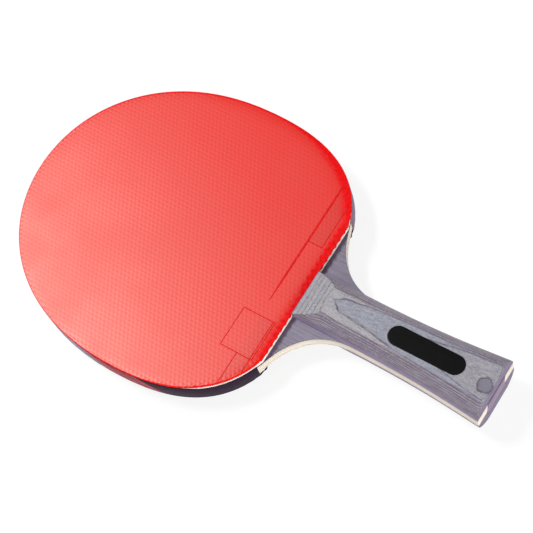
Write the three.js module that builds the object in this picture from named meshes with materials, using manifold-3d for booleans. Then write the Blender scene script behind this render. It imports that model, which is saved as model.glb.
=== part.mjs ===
// A table tennis paddle: a five-ply wooden blade, a flared grip of two laminated scales,
// a red and a black rubber covering with their sponges, and a tape round the edge of the head.
//
// Millimetres. The blade is drawn about its middle plane, with y = 0 on the cut line, where the head
// ends and the grip begins, +Y to the tip of the head and +Z out of the red side. Inside the exported
// group it is lifted and shifted, so that the origin is at the middle of the paddle's footprint, level
// with the back of the grip.

import * as THREE from "three";
import { mergeVertices } from "three/addons/utils/BufferGeometryUtils.js";
import Module from "manifold-3d";

const wasm = await Module();
wasm.setup();

// ---------------------------------------------------------------- driving dimensions

// Plan of the blade
const HEAD_LENGTH = 157.2; // from the cut line to the tip
const HEAD_WIDTH = 150.2;
const WIDEST_FROM_CUT = 67.2; // where along the head it is widest
const SHOULDER_WIDTH = 77.4; // width of the blade on the cut line
const SHOULDER_SLANT = 18; // degrees between the outline and the cut line, where they cross
const GRIP_LENGTH = 101.5; // from the cut line to the butt
const GRIP_WIDTH = 25; // at the neck
const BUTT_WIDTH = 32.2;
const NECK_FROM_CUT = 33; // where the shoulder has run into the grip

// Fullness of the outline: how far each stretch holds its end direction, from 0 to 1
const TIP_FULLNESS = 0.52;
const UPPER_SIDE_FULLNESS = 0.64;
const LOWER_SIDE_FULLNESS = 0.3;
const CUT_FULLNESS = 0.54;
const SHOULDER_START_FULLNESS = 0.25;
const SHOULDER_END_FULLNESS = 0.7;
const FLARE_START_FULLNESS = 0.57;
const FLARE_END_FULLNESS = 0.15;
const FLARE_SLANT = 4; // degrees that the grip's side leans out at the butt

// Thicknesses of the layers
const CORE_PLY = 2.8;
const MEDIAL_PLY = 0.8;
const OUTER_PLY = 0.6;
const SPONGE = 2.2;
const TOPSHEET = 1.75; // the smooth sheet with its pimples below it
const GLUE_LINE = 0.05; // between any two layers

// Coverings: how far their edge lies inside the blade's, and their straight cut above the cut line
const FRONT_COVER_INSET = 0.3;
const REAR_COVER_INSET = 0.6;
const FRONT_COVER_SETBACK = 0.4;
const REAR_COVER_SETBACK = 1;
const COVER_CORNER = 0.8; // size of the rounded corners at the cut

// Edge tape
const TAPE_WIDTH = 10.3;
const TAPE_THICKNESS = 0.2;
const TAPE_GLUE = 0.1;
const TAPE_SETBACK = 1.2; // its ends stop this far above the cut line

// Grip
const GRIP_THICKNESS = 25;
const VENEERS_PER_SCALE = 10;
const CROWN_AT_FRONT = 11; // width of the flat along the middle of the grip
const CROWN_AT_BUTT = 16;
const FRONT_SIDE_HEIGHT = 3; // upright side of a scale above the blade, before it rounds over
const BUTT_SIDE_HEIGHT = 1.5;
const FRONT_FULLNESS = 1.5; // of the rounding from side to crown: 2 is an ellipse, 1 a flat bevel
const BUTT_FULLNESS = 1.6;
const FRONT_SLOPE_LENGTH = 14;
const FRONT_GAP = 0.3; // between the grip's front and the front covering
const BUTT_ROUNDING = 1.2;

// Badge inlaid in the front of the grip, and label on the butt
const BADGE_LENGTH = 39.6;
const BADGE_WIDTH = 9.8;
const BADGE_FROM_BUTT = 34.9; // from the butt to the badge's middle
const BADGE_PROUD = 0.12;
const BADGE_CLEARANCE = 0.15;
const LABEL_LENGTH = 17;
const LABEL_HEIGHT = 7;
const LABEL_THICKNESS = 0.2;
const LABEL_LEAN = 1.6; // how far its slanted ends lean
const LABEL_GLUE = 0.05;

// Steps in the curves
const OUTLINE_STEPS = 22; // along each stretch of the outline
const FLARE_STEPS = 12;
const ROUNDING_STEPS = 7;
const CORNER_STEPS = 5;

// ---------------------------------------------------------------- sizes that follow

const halfBlade = CORE_PLY / 2 + MEDIAL_PLY + OUTER_PLY + 2 * GLUE_LINE;
const spongeFloor = halfBlade + GLUE_LINE;
const sheetFloor = spongeFloor + SPONGE + GLUE_LINE;
const coverTop = sheetFloor + TOPSHEET;
const gripTop = GRIP_THICKNESS / 2;
const veneerPitch = (gripTop - halfBlade) / VENEERS_PER_SCALE;
const tapeReach = TAPE_GLUE + TAPE_THICKNESS;
const gripFront = FRONT_COVER_SETBACK - FRONT_GAP;
const butt = -GRIP_LENGTH;

// ---------------------------------------------------------------- materials

const finishes = {
  redRubber: { color: 0xe8382f, roughness: 0.55, metalness: 0 },
  blackRubber: { color: 0x1b1a1d, roughness: 0.55, metalness: 0 },
  sponge: { color: 0xf1ebe0, roughness: 0.95, metalness: 0 },
  greyVeneer: { color: 0x8b8799, roughness: 0.7, metalness: 0 },
  paleWood: { color: 0xeadfcd, roughness: 0.75, metalness: 0 },
  blueGripWood: { color: 0x9a9fac, roughness: 0.6, metalness: 0 },
  plumGripWood: { color: 0x7d7285, roughness: 0.6, metalness: 0 },
  tape: { color: 0x2b1b2c, roughness: 0.35, metalness: 0 },
  badge: { color: 0x0c0a0d, roughness: 0.15, metalness: 0 },
  label: { color: 0x8f7f96, roughness: 0.4, metalness: 0 },
};

// ---------------------------------------------------------------- meshes and solids

function addPiece(group, name, geometry, finish) {
  const material = new THREE.MeshStandardMaterial({ ...finishes[finish] });
  const mesh = new THREE.Mesh(geometry, material);
  mesh.name = name;
  group.add(mesh);
  return mesh;
}

function toSolid(geometry) {
  const bare = geometry.clone();
  bare.deleteAttribute("normal");
  bare.deleteAttribute("uv");
  const merged = mergeVertices(bare, 1e-4);
  const vertProperties = new Float32Array(merged.attributes.position.array);
  const triVerts = new Uint32Array(merged.index.array);
  return new wasm.Manifold(new wasm.Mesh({ numProp: 3, vertProperties, triVerts }));
}

function toGeometry(solid) {
  const mesh = solid.getMesh();
  const geometry = new THREE.BufferGeometry();
  geometry.setAttribute("position", new THREE.BufferAttribute(mesh.vertProperties, 3));
  geometry.setIndex(new THREE.BufferAttribute(mesh.triVerts, 1));
  return geometry;
}

// A flat layer of the given outline, from one height up to another.
function layer(outline, bottom, top) {
  const geometry = new THREE.ExtrudeGeometry(new THREE.Shape(outline), {
    depth: top - bottom,
    bevelEnabled: false,
  });
  return geometry.translate(0, 0, bottom);
}

// ---------------------------------------------------------------- outline of the blade

function stretch(start, startHandle, endHandle, end, steps) {
  return new THREE.CubicBezierCurve(start, startHandle, endHandle, end).getPoints(steps);
}

const at = (x, y) => new THREE.Vector2(x, y);
const slantOf = (degrees) => THREE.MathUtils.degToRad(degrees);

// Right-hand side of the head, from the tip round to the end of the cut line.
function headSide() {
  const side = HEAD_WIDTH / 2;
  const above = HEAD_LENGTH - WIDEST_FROM_CUT;
  const below = WIDEST_FROM_CUT;
  const widest = at(side, WIDEST_FROM_CUT);
  const corner = at(SHOULDER_WIDTH / 2, 0);
  const upper = stretch(
    at(0, HEAD_LENGTH),
    at(side * TIP_FULLNESS, HEAD_LENGTH),
    at(side, WIDEST_FROM_CUT + above * UPPER_SIDE_FULLNESS),
    widest,
    OUTLINE_STEPS,
  );
  const hold = below * CUT_FULLNESS;
  const lower = stretch(
    widest,
    at(side, WIDEST_FROM_CUT - below * LOWER_SIDE_FULLNESS),
    at(
      corner.x + hold * Math.cos(slantOf(SHOULDER_SLANT)),
      hold * Math.sin(slantOf(SHOULDER_SLANT)),
    ),
    corner,
    OUTLINE_STEPS,
  );
  return [...upper, ...lower.slice(1)];
}

// From the end of the cut line through the hollow of the shoulder to the neck of the grip.
function shoulderSide() {
  const corner = at(SHOULDER_WIDTH / 2, 0);
  const neck = at(GRIP_WIDTH / 2, -NECK_FROM_CUT);
  const hold = NECK_FROM_CUT * SHOULDER_START_FULLNESS;
  return stretch(
    corner,
    at(
      corner.x - hold * Math.cos(slantOf(SHOULDER_SLANT)),
      -hold * Math.sin(slantOf(SHOULDER_SLANT)),
    ),
    at(neck.x, neck.y + NECK_FROM_CUT * SHOULDER_END_FULLNESS),
    neck,
    OUTLINE_STEPS,
  );
}

// The flaring side of the grip, from the neck to the butt.
function gripSide() {
  const length = GRIP_LENGTH - NECK_FROM_CUT;
  const neck = at(GRIP_WIDTH / 2, -NECK_FROM_CUT);
  const end = at(BUTT_WIDTH / 2, butt);
  const hold = length * FLARE_END_FULLNESS;
  return stretch(
    neck,
    at(neck.x, neck.y - length * FLARE_START_FULLNESS),
    at(
      end.x - hold * Math.sin(slantOf(FLARE_SLANT)),
      end.y + hold * Math.cos(slantOf(FLARE_SLANT)),
    ),
    end,
    FLARE_STEPS,
  );
}

// A right-hand side's mirror image, from its far end back to the middle line.
function mirrorImage(side) {
  return side
    .filter((point) => point.x > 0)
    .map((point) => at(-point.x, point.y))
    .reverse();
}

// A right-hand side of the head moved out by a distance, or in where it is negative.
function movedOut(side, distance) {
  return side.map((point, i) => {
    const before = i > 0 ? side[i - 1] : at(-side[1].x, side[1].y);
    const after = side[Math.min(i + 1, side.length - 1)];
    const along = after.clone().sub(before).normalize();
    return at(point.x - along.y * distance, point.y + along.x * distance);
  });
}

// The part of a right-hand side that lies above a height, ending on it.
function above(side, height) {
  const kept = side.filter((point) => point.y > height);
  const last = kept[kept.length - 1];
  const next = side[kept.length];
  const share = (last.y - height) / (last.y - next.y);
  return [...kept, last.clone().lerp(next, share)];
}

const head = headSide();
const flare = gripSide();

// ---------------------------------------------------------------- blade

// Five plies with one outline, from the rear of the blade to its front.
function addBlade(group) {
  const side = [...head, ...shoulderSide().slice(1), ...flare.slice(1)];
  const outline = [...side, ...mirrorImage(side)];
  const plies = [
    ["rear_outer_veneer", OUTER_PLY, "greyVeneer"],
    ["rear_medial_veneer", MEDIAL_PLY, "paleWood"],
    ["core_ply", CORE_PLY, "paleWood"],
    ["front_medial_veneer", MEDIAL_PLY, "paleWood"],
    ["front_outer_veneer", OUTER_PLY, "greyVeneer"],
  ];
  let bottom = -halfBlade;
  for (const [name, thickness, finish] of plies) {
    addPiece(group, name, layer(outline, bottom, bottom + thickness), finish);
    bottom += thickness + GLUE_LINE;
  }
}

// ---------------------------------------------------------------- coverings

// The head inside its edge and above a straight cut, with the two corners at the cut rounded.
function coverOutline(inset, setback) {
  const side = above(movedOut(head, -inset), setback);
  const end = side[side.length - 1];
  const kept = side.filter((point) => point.distanceTo(end) > COVER_CORNER);
  const onSide = kept[kept.length - 1];
  const onCut = at(end.x - COVER_CORNER, setback);
  const corner = new THREE.QuadraticBezierCurve(onSide, end, onCut).getPoints(CORNER_STEPS);
  const rounded = [...kept, ...corner.slice(1)];
  return [...rounded, ...mirrorImage(rounded)];
}

function addCoverings(group) {
  const sides = [
    ["front", "redRubber", 0, coverOutline(FRONT_COVER_INSET, FRONT_COVER_SETBACK)],
    ["rear", "blackRubber", Math.PI, coverOutline(REAR_COVER_INSET, REAR_COVER_SETBACK)],
  ];
  for (const [side, rubber, turn, outline] of sides) {
    const sponge = layer(outline, spongeFloor, spongeFloor + SPONGE);
    const topsheet = layer(outline, sheetFloor, coverTop);
    addPiece(group, `${side}_sponge`, sponge, "sponge").rotation.y = turn;
    addPiece(group, `${side}_topsheet`, topsheet, rubber).rotation.y = turn;
  }
}

// ---------------------------------------------------------------- edge tape

// The line that the tape's inner or outer face follows, from its left end over the tip.
function tapeLine(distance) {
  const side = above(movedOut(head, distance), TAPE_SETBACK);
  return [...mirrorImage(side), ...side];
}

function addTape(group) {
  const band = [...tapeLine(tapeReach), ...tapeLine(TAPE_GLUE).reverse()];
  addPiece(group, "edge_tape", layer(band, -TAPE_WIDTH / 2, TAPE_WIDTH / 2), "tape");
}

// ---------------------------------------------------------------- grip

// Places along the grip where its cross-section is drawn, from the front to the butt.
function gripStations() {
  const straight = [0, 1 / 3, 2 / 3].map((share) => {
    return at(GRIP_WIDTH / 2, THREE.MathUtils.lerp(gripFront, -NECK_FROM_CUT, share));
  });
  const flared = flare.filter((point) => point.y > butt + BUTT_ROUNDING + 1);
  const end = flare[flare.length - 1];
  const lean = Math.tan(slantOf(FLARE_SLANT));
  const rounded = [];
  for (let i = 0; i <= CORNER_STEPS; i++) {
    const turn = (i / CORNER_STEPS) * (Math.PI / 2);
    const fromButt = BUTT_ROUNDING * (1 - Math.sin(turn));
    const lowered = BUTT_ROUNDING * (1 - Math.cos(turn));
    const station = at(end.x - fromButt * lean, butt + fromButt);
    station.lowered = lowered;
    rounded.push(station);
  }
  return [...straight, ...flared, ...rounded];
}

// Cross-section of a scale: upright sides, rounded shoulders and a flat crown.
function gripSection(halfWidth, y, lowered = 0) {
  const share = THREE.MathUtils.inverseLerp(gripFront, butt, y);
  const crown = THREE.MathUtils.lerp(CROWN_AT_FRONT, CROWN_AT_BUTT, share) / 2;
  const wall = halfBlade + THREE.MathUtils.lerp(FRONT_SIDE_HEIGHT, BUTT_SIDE_HEIGHT, share);
  const power = 2 / THREE.MathUtils.lerp(FRONT_FULLNESS, BUTT_FULLNESS, share);
  const top = gripTop - lowered;
  const right = [new THREE.Vector3(halfWidth, y, halfBlade)];
  for (let i = 0; i <= ROUNDING_STEPS; i++) {
    const turn = (i / ROUNDING_STEPS) * (Math.PI / 2);
    const x = crown + (halfWidth - crown) * Math.cos(turn) ** power;
    const z = wall + (top - wall) * Math.sin(turn) ** power;
    right.push(new THREE.Vector3(x, y, z));
  }
  const left = right.map((point) => new THREE.Vector3(-point.x, y, point.z)).reverse();
  return [...right, ...left];
}

// A closed solid through a row of cross-sections, each with as many points as the others.
function loft(sections) {
  const count = sections[0].length;
  const positions = sections.flat().flatMap((point) => [point.x, point.y, point.z]);
  const index = [];
  for (let s = 0; s + 1 < sections.length; s++) {
    for (let i = 0; i < count; i++) {
      const here = s * count + i;
      const next = s * count + ((i + 1) % count);
      index.push(here, next, here + count);
      index.push(next, next + count, here + count);
    }
  }
  const last = (sections.length - 1) * count;
  for (let i = 1; i + 1 < count; i++) {
    index.push(0, i + 1, i);
    index.push(last, last + i, last + i + 1);
  }
  const geometry = new THREE.BufferGeometry();
  geometry.setAttribute("position", new THREE.Float32BufferAttribute(positions, 3));
  geometry.setIndex(index);
  return geometry;
}

// The wedge that is cut away where the grip rises from the coverings' height to its crown.
function frontWedge() {
  const beyond = 5;
  const rise = (gripTop - coverTop) / FRONT_SLOPE_LENGTH;
  const profile = [
    at(gripFront + beyond, coverTop - rise * beyond),
    at(gripFront + beyond, gripTop + beyond),
    at(gripFront - FRONT_SLOPE_LENGTH - beyond, gripTop + beyond),
    at(gripFront - FRONT_SLOPE_LENGTH - beyond, gripTop + rise * beyond),
  ];
  const geometry = new THREE.ExtrudeGeometry(new THREE.Shape(profile), {
    depth: 2 * GRIP_WIDTH,
    bevelEnabled: false,
  });
  // The profile was drawn as (y, z): turn it to stand along Y and Z, and centre it across the grip.
  const upright = new THREE.Matrix4().makeBasis(
    new THREE.Vector3(0, 1, 0),
    new THREE.Vector3(0, 0, 1),
    new THREE.Vector3(1, 0, 0),
  );
  return geometry.applyMatrix4(upright).translate(-GRIP_WIDTH, 0, 0);
}

// A bar with round ends along Y, centred on the badge's place.
function badgeBar(halfWidth, halfLength, bottom, top) {
  const centre = butt + BADGE_FROM_BUTT;
  const straight = halfLength - halfWidth;
  const shape = new THREE.Shape();
  shape.absarc(0, centre + straight, halfWidth, 0, Math.PI, false);
  shape.absarc(0, centre - straight, halfWidth, Math.PI, 2 * Math.PI, false);
  return layer(shape.getPoints(16).slice(0, -1), bottom, top);
}

function addGrip(group) {
  const sections = gripStations().map((station) => gripSection(station.x, station.y, station.lowered));
  const scale = toSolid(loft(sections)).subtract(toSolid(frontWedge()));
  const pocket = toSolid(
    badgeBar(
      BADGE_WIDTH / 2 + BADGE_CLEARANCE,
      BADGE_LENGTH / 2 + BADGE_CLEARANCE,
      gripTop - veneerPitch,
      gripTop + 1,
    ),
  );
  for (let i = 0; i < VENEERS_PER_SCALE; i++) {
    const bottom = halfBlade + i * veneerPitch + GLUE_LINE;
    const top = halfBlade + (i + 1) * veneerPitch;
    const isCrown = i === VENEERS_PER_SCALE - 1;
    const slab = new THREE.BoxGeometry(2 * BUTT_WIDTH, 3 * GRIP_LENGTH, top - bottom + (isCrown ? 1 : 0));
    slab.translate(0, 0, (bottom + top + (isCrown ? 1 : 0)) / 2);
    const veneer = scale.intersect(toSolid(slab));
    const finish = i % 2 === 0 ? "plumGripWood" : "blueGripWood";
    const front = isCrown ? veneer.subtract(pocket) : veneer;
    const number = String(i + 1).padStart(2, "0");
    addPiece(group, `front_grip_veneer_${number}`, toGeometry(front), finish);
    addPiece(group, `rear_grip_veneer_${number}`, toGeometry(veneer), finish).rotation.y = Math.PI;
  }
}

// ---------------------------------------------------------------- badge and label

function addBadge(group) {
  const bottom = gripTop - veneerPitch + GLUE_LINE;
  const bar = badgeBar(BADGE_WIDTH / 2, BADGE_LENGTH / 2, bottom, gripTop + BADGE_PROUD);
  addPiece(group, "grip_badge", bar, "badge");
}

// A thin plate with slanted ends, laid flat on the butt.
function addLabel(group) {
  const half = LABEL_LENGTH / 2;
  const outline = [
    at(-half, -LABEL_HEIGHT / 2),
    at(half - LABEL_LEAN, -LABEL_HEIGHT / 2),
    at(half, LABEL_HEIGHT / 2),
    at(-half + LABEL_LEAN, LABEL_HEIGHT / 2),
  ];
  const plate = layer(outline, 0, LABEL_THICKNESS);
  plate.rotateX(Math.PI / 2);
  plate.translate(0, butt - LABEL_GLUE, 0);
  addPiece(group, "butt_label", plate, "label");
}

// ---------------------------------------------------------------- assembly

const blade = new THREE.Group();
addBlade(blade);
addCoverings(blade);
addTape(blade);
addGrip(blade);
addBadge(blade);
addLabel(blade);

// The footprint runs from the label on the butt to the tape at the tip.
const low = butt - LABEL_GLUE - LABEL_THICKNESS;
const high = HEAD_LENGTH + tapeReach;
blade.position.set(0, -(low + high) / 2, GRIP_THICKNESS / 2);

const paddle = new THREE.Group();
paddle.add(blade);

export default paddle;
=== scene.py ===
"""A table tennis paddle: a stained blade with two rubber coverings, an edge tape and a laminated grip."""

import math

import bmesh
import bpy
from mathutils import Matrix, Vector
from mathutils.bvhtree import BVHTree
from mathutils.kdtree import KDTree


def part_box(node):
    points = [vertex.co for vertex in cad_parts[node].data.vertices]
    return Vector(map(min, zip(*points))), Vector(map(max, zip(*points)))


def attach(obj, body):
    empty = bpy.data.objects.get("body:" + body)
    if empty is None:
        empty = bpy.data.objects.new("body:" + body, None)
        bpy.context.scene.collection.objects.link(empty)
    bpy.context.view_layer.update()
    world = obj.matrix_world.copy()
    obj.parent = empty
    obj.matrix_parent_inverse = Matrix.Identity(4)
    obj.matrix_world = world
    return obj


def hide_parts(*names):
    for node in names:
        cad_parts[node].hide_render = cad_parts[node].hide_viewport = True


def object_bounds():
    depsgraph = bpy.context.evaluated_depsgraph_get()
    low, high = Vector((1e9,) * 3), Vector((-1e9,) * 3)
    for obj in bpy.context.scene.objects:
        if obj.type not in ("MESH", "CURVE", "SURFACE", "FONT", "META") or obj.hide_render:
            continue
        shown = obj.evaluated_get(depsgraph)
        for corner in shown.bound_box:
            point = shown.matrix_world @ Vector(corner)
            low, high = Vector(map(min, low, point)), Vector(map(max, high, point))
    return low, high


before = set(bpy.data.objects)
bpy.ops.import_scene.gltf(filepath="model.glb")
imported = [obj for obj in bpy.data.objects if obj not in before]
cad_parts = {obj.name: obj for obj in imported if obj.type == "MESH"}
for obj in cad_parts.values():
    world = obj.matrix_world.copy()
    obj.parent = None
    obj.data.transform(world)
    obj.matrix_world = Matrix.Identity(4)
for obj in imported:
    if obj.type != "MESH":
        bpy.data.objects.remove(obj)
CAD_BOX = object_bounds()

MM = 0.001

# -------- places, from the CAD

BLADE_LOW, BLADE_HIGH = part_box("rear_outer_veneer")[0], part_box("front_outer_veneer")[1]
MIDDLE = (BLADE_LOW[2] + BLADE_HIGH[2]) / 2  # height of the blade's middle plane
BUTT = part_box("core_ply")[0][1]
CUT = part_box("front_topsheet")[0][1]  # the straight lower edge of the front covering
SHEET_LOW, SHEET_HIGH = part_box("front_topsheet")
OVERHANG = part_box("edge_tape")[1][0] - SHEET_HIGH[0]  # the rims of the topsheets are flush with the tape
GRIP_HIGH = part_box("front_grip_veneer_10")[1]
GRIP_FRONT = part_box("front_grip_veneer_01")[1][1]
BADGE_LOW, BADGE_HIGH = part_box("grip_badge")

# -------- sizes that the CAD shares

CROWN_AT_FRONT = 11 * MM
CROWN_AT_BUTT = 16 * MM
FRONT_SIDE_HEIGHT = 3 * MM
BUTT_SIDE_HEIGHT = 1.5 * MM
FRONT_FULLNESS = 1.5
BUTT_FULLNESS = 1.6
FRONT_SLOPE_LENGTH = 14 * MM
BUTT_ROUNDING = 1.2 * MM
SLOPE_ROUNDING = 0.3 * MM  # how softly the slope runs into the crown
CREASE = 0.22 * MM  # how far the edges of the grip are rounded
ARC_SEARCH = math.radians(0.4)
VENEER = 0.96 * MM
BADGE_CLEARANCE = 0.15 * MM

# -------- sizes of the finer detail

FACE_CREASE = 0.12 * MM  # how far the edges of the other pieces are rounded
SPONGE_CREASE = 0.1 * MM
PLY_CREASE = 0.06 * MM
THIN_CREASE = 0.05 * MM
SHARP_EDGE = math.radians(50)

PIMPLE_COLUMNS = 2.04 * MM  # between the columns of pimples, which run along the blade
PIMPLE_PHASE = -1.5 * MM
PIMPLE_FROM_CUT = 0.7 * MM
PIMPLE_RADIUS = 0.88 * MM
PIMPLE_SIDES = 12
PIMPLES_SEEN = 3.2 * MM  # how far in from the rim the pimples are modelled
STIPPLE_COLUMNS = 0.62 * MM  # between the columns of fine dots on the bands
DOT_DIRECTIONS = (0, 120, 240)  # a field of dots is the sum of three waves
LOOP_STEP = 0.5 * MM  # between the points along a topsheet's rim, and how many neighbours smooth a point
LOOP_REACH = 5

SHEET_SKIN = 0.9 * MM  # the smooth part of a topsheet, above its pimples
# The rings of a topsheet's skin: how far in from the rim each is, how deep below the face, and how far
# the pimples show on it.
SHEET_RINGS = [
    (inset * MM, depth * MM, share) for inset, depth, share in (
        (0.16, SHEET_SKIN / MM, 0), (0.02, SHEET_SKIN / MM - 0.1, 0), (0.0, 0.42, 0), (0.05, 0.2, 0.2),
        (0.16, 0.09, 0.4), (0.34, 0.03, 0.7), (0.6, 0, 1.0), (0.95, 0, 1.0), (1.35, 0, 0.9), (1.8, 0, 0.7),
        (2.3, 0, 0.45), (2.9, 0, 0.2), (3.6, 0, 0.06), (4.5, 0, 0), (5.5, 0, 0), (6.7, 0, 0), (10, 0, 0),
    )
]
RIM_RINGS = 5  # rings of a topsheet that count as its rim; worn places have a wider one
SHOULDER_RINGS = 13  # no ring past this one is part of the worn band beside the rim
ROLL_REACH = 10 * MM  # how far in from the rim a topsheet starts to fall off, and how far it falls
ROLL_DEPTH = 0.73 * MM
DIP = 0.055 * MM  # how far the face sinks between the pimples near the rim, and more at the cut
DIP_AT_CUT = 0.12 * MM

CUT_SHARPNESS = 16  # how quickly the cut edge's own shape goes where the rim turns away from the cut line
CUT_OUT = 0.12 * MM  # how far the cut edge stands out everywhere, and more at its swellings
SWELL_OUT = 0.55 * MM
SWELL_REACH = 2 * MM
SWELL_HEIGHT = 0.16 * MM
SWELL_SHARPNESS = 1.5
SWELL_PHASE = -17.8 * MM  # one of the places where the cut edge swells out, at every second column

BEAD_STANDS_OUT = 0.42 * MM  # the sponge's rim, where it swells out over the tape beside the cut line
BEAD_HEIGHT = 0.75 * MM
BEAD_ROOT = -0.6 * MM  # where it starts inside the sponge
BEAD_FOOT = -0.3 * MM
BEAD_FROM_CUT = 0.6 * MM
BEAD_FROM_FACING = 0.36  # how far the rim faces the cut line where the bead starts, and until it is full
BEAD_FADE = 0.2
BEAD_ROOM = 0.85  # how much of its overhang the topsheet's rim leaves to the bead

LIP_AT_SKIN = 0.06 * MM  # how far the sponge stands out past the topsheet's straight edge, at either face
LIP_AT_BLADE = 0.12 * MM
LIP_ROOT = 0.3 * MM
LIP_FROM_MIDDLE = 13.2 * MM
LIP_FROM_CORNER = 0.6 * MM

RIB_WIDTH = 0.5 * MM
RIB_HEIGHT = 0.16 * MM
RIB_FROM_RIM = 0.9 * MM
LINE_STEP = 1.5 * MM  # the ribs follow the playing face in steps of this length
PANEL_LEFT = -41.1 * MM  # the moulded panel near the cut line
PANEL_RIGHT = -20.1 * MM
PANEL_HEIGHT = 17.6 * MM
PANEL_FROM_CUT = 3.95 * MM
PANEL_BORDER = 1.0 * MM
BAND_FROM_CUT = 4.85 * MM  # the bands from the panel to the left rim, and from BAND_RIGHT to the right rim
BAND_HEIGHT = 7.3 * MM
BAND_RIGHT = 23.3 * MM
LEDGE_START = -12.0 * MM  # the soft ledge along the top of the right band
LEDGE_WIDTH = 1.3 * MM
LEDGE_FADE = 12  # steps over which the ledge rises out of the face


def linear(red, green, blue):
    """A colour as shader sockets take it, from its 0 to 255 screen values."""
    parts = []
    for value in (red, green, blue):
        share = value / 255
        parts.append(share / 12.92 if share <= 0.04045 else ((share + 0.055) / 1.055) ** 2.4)
    return (*parts, 1)


# -------- materials


class Recipe:
    """A node material under construction. Lengths in its patterns are in millimetres."""

    def __init__(self, name, roughness, specular):
        self.material = bpy.data.materials.new(name)
        self.material.use_nodes = True
        self.nodes = self.material.node_tree.nodes
        self.skin = self.nodes["Principled BSDF"]
        self.skin.inputs["Roughness"].default_value = roughness
        self.skin.inputs["Specular IOR Level"].default_value = specular
        place = self.add("ShaderNodeTexCoord").outputs["Object"]
        self.where = self.vector("SCALE", place, scale=1 / MM)
        self.x, self.y, self.z = self.split(self.where)

    def add(self, kind, **settings):
        node = self.nodes.new(kind)
        for socket, value in settings.items():
            self.put(value, node.inputs[socket])
        return node

    def put(self, value, socket):
        if isinstance(value, bpy.types.NodeSocket):
            self.material.node_tree.links.new(value, socket)
        else:
            socket.default_value = value

    def vector(self, operation, first, second=None, scale=None):
        node = self.add("ShaderNodeVectorMath")
        node.operation = operation
        self.put(first, node.inputs[0])
        if second is not None:
            self.put(second, node.inputs[1])
        if scale is not None:
            node.inputs["Scale"].default_value = scale
        return node.outputs["Value" if operation == "LENGTH" else "Vector"]

    def split(self, vector):
        node = self.add("ShaderNodeSeparateXYZ")
        self.put(vector, node.inputs[0])
        return node.outputs

    def join(self, x, y, z):
        node = self.add("ShaderNodeCombineXYZ")
        for value, socket in zip((x, y, z), node.inputs):
            self.put(value, socket)
        return node.outputs[0]

    def math(self, operation, *values):
        node = self.add("ShaderNodeMath")
        node.operation = operation
        for value, socket in zip(values, node.inputs):
            self.put(value, socket)
        return node.outputs[0]

    def plus(self, first, *others):
        for other in others:
            first = self.math("ADD", first, other)
        return first

    def less(self, first, *others):
        for other in others:
            first = self.math("SUBTRACT", first, other)
        return first

    def times(self, first, *others):
        for other in others:
            first = self.math("MULTIPLY", first, other)
        return first

    def absolute(self, value):
        return self.math("ABSOLUTE", value)

    def noise(self, scale, detail=2.0, roughness=0.5, distortion=0.0):
        """Noise from 0 to 1. Its scale is in cycles per millimetre, one number or one for each axis."""
        source = self.where
        if isinstance(scale, tuple):
            source, scale = self.vector("MULTIPLY", source, scale), 1.0
        return self.add(
            "ShaderNodeTexNoise",
            Vector=source, Scale=scale, Detail=detail, Roughness=roughness, Distortion=distortion,
        ).outputs["Fac"]

    def pores(self, scale):
        """The distance to the nearest of many scattered points."""
        return self.add("ShaderNodeTexVoronoi", Vector=self.where, Scale=scale).outputs["Distance"]

    def spread(self, value, low, high, to_low=0.0, to_high=1.0, smooth=True):
        """Carries a value's range to another range, and stops at its ends."""
        node = self.add("ShaderNodeMapRange")
        node.interpolation_type = "SMOOTHSTEP" if smooth else "LINEAR"
        for number, setting in enumerate((value, low, high, to_low, to_high)):
            self.put(setting, node.inputs[number])
        return node.outputs[0]

    def ramp(self, value, stops, flat=False):
        """Colours at their places over a value from 0 to 1. Flat ones don't run into each other."""
        node = self.add("ShaderNodeValToRGB")
        ramp = node.color_ramp
        if flat:
            ramp.interpolation = "CONSTANT"
        while len(ramp.elements) < len(stops):
            ramp.elements.new(0.5)
        for element, (place, colour) in zip(ramp.elements, stops):
            element.position = place
            element.color = linear(*colour)
        self.put(value, node.inputs[0])
        return node.outputs[0]

    def slants(self):
        """How far the surface faces to its sides, to its ends, and up or down, each from 0 to 1."""
        normal = self.split(self.add("ShaderNodeNewGeometry").outputs["Normal"])
        return [self.absolute(part) for part in normal]

    def blend(self, share, first, second):
        node = self.add("ShaderNodeMix")
        node.data_type = "RGBA"
        self.put(share, node.inputs["Factor"])
        for value, socket in ((first, node.inputs["A"]), (second, node.inputs["B"])):
            self.put(linear(*value) if isinstance(value, tuple) else value, socket)
        return node.outputs["Result"]

    def stain(self, colour, *coats):
        """Lays coats over a colour: each is a pattern, its range, its strength at either end, and a paint."""
        for pattern, low, high, at_low, at_high, paint in coats:
            colour = self.blend(self.spread(pattern, low, high, at_low, at_high), colour, paint)
        return colour

    def strip(self, value, low, high, soft):
        """1 where a value is between two limits, 0 outside."""
        rising = self.spread(value, low - soft, low + soft)
        falling = self.spread(value, high - soft, high + soft, 1.0, 0.0)
        return self.times(rising, falling)

    def dots(self, columns, phase_x=0.0, phase_y=0.0):
        """A field of round dots, 1 at a dot's middle, each amid six others. Columns run along the blade."""
        turns = 2 * math.pi / columns
        waves = []
        for angle in DOT_DIRECTIONS:
            across = turns * math.cos(math.radians(angle))
            along = turns * math.sin(math.radians(angle))
            shift = -(across * phase_x + along * phase_y)
            place = self.math("MULTIPLY_ADD", self.x, across, shift)
            waves.append(self.math("COSINE", self.math("MULTIPLY_ADD", self.y, along, place)))
        return self.math("MULTIPLY_ADD", self.plus(*waves), 1 / 4.5, 1 / 3)  # from -1.5 to 3, to 0 to 1

    def bump(self, height, distance, **below):
        """A relief, over the Normal of another if one is given."""
        return self.add("ShaderNodeBump", Distance=distance * MM, Height=height, **below).outputs[0]

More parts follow.
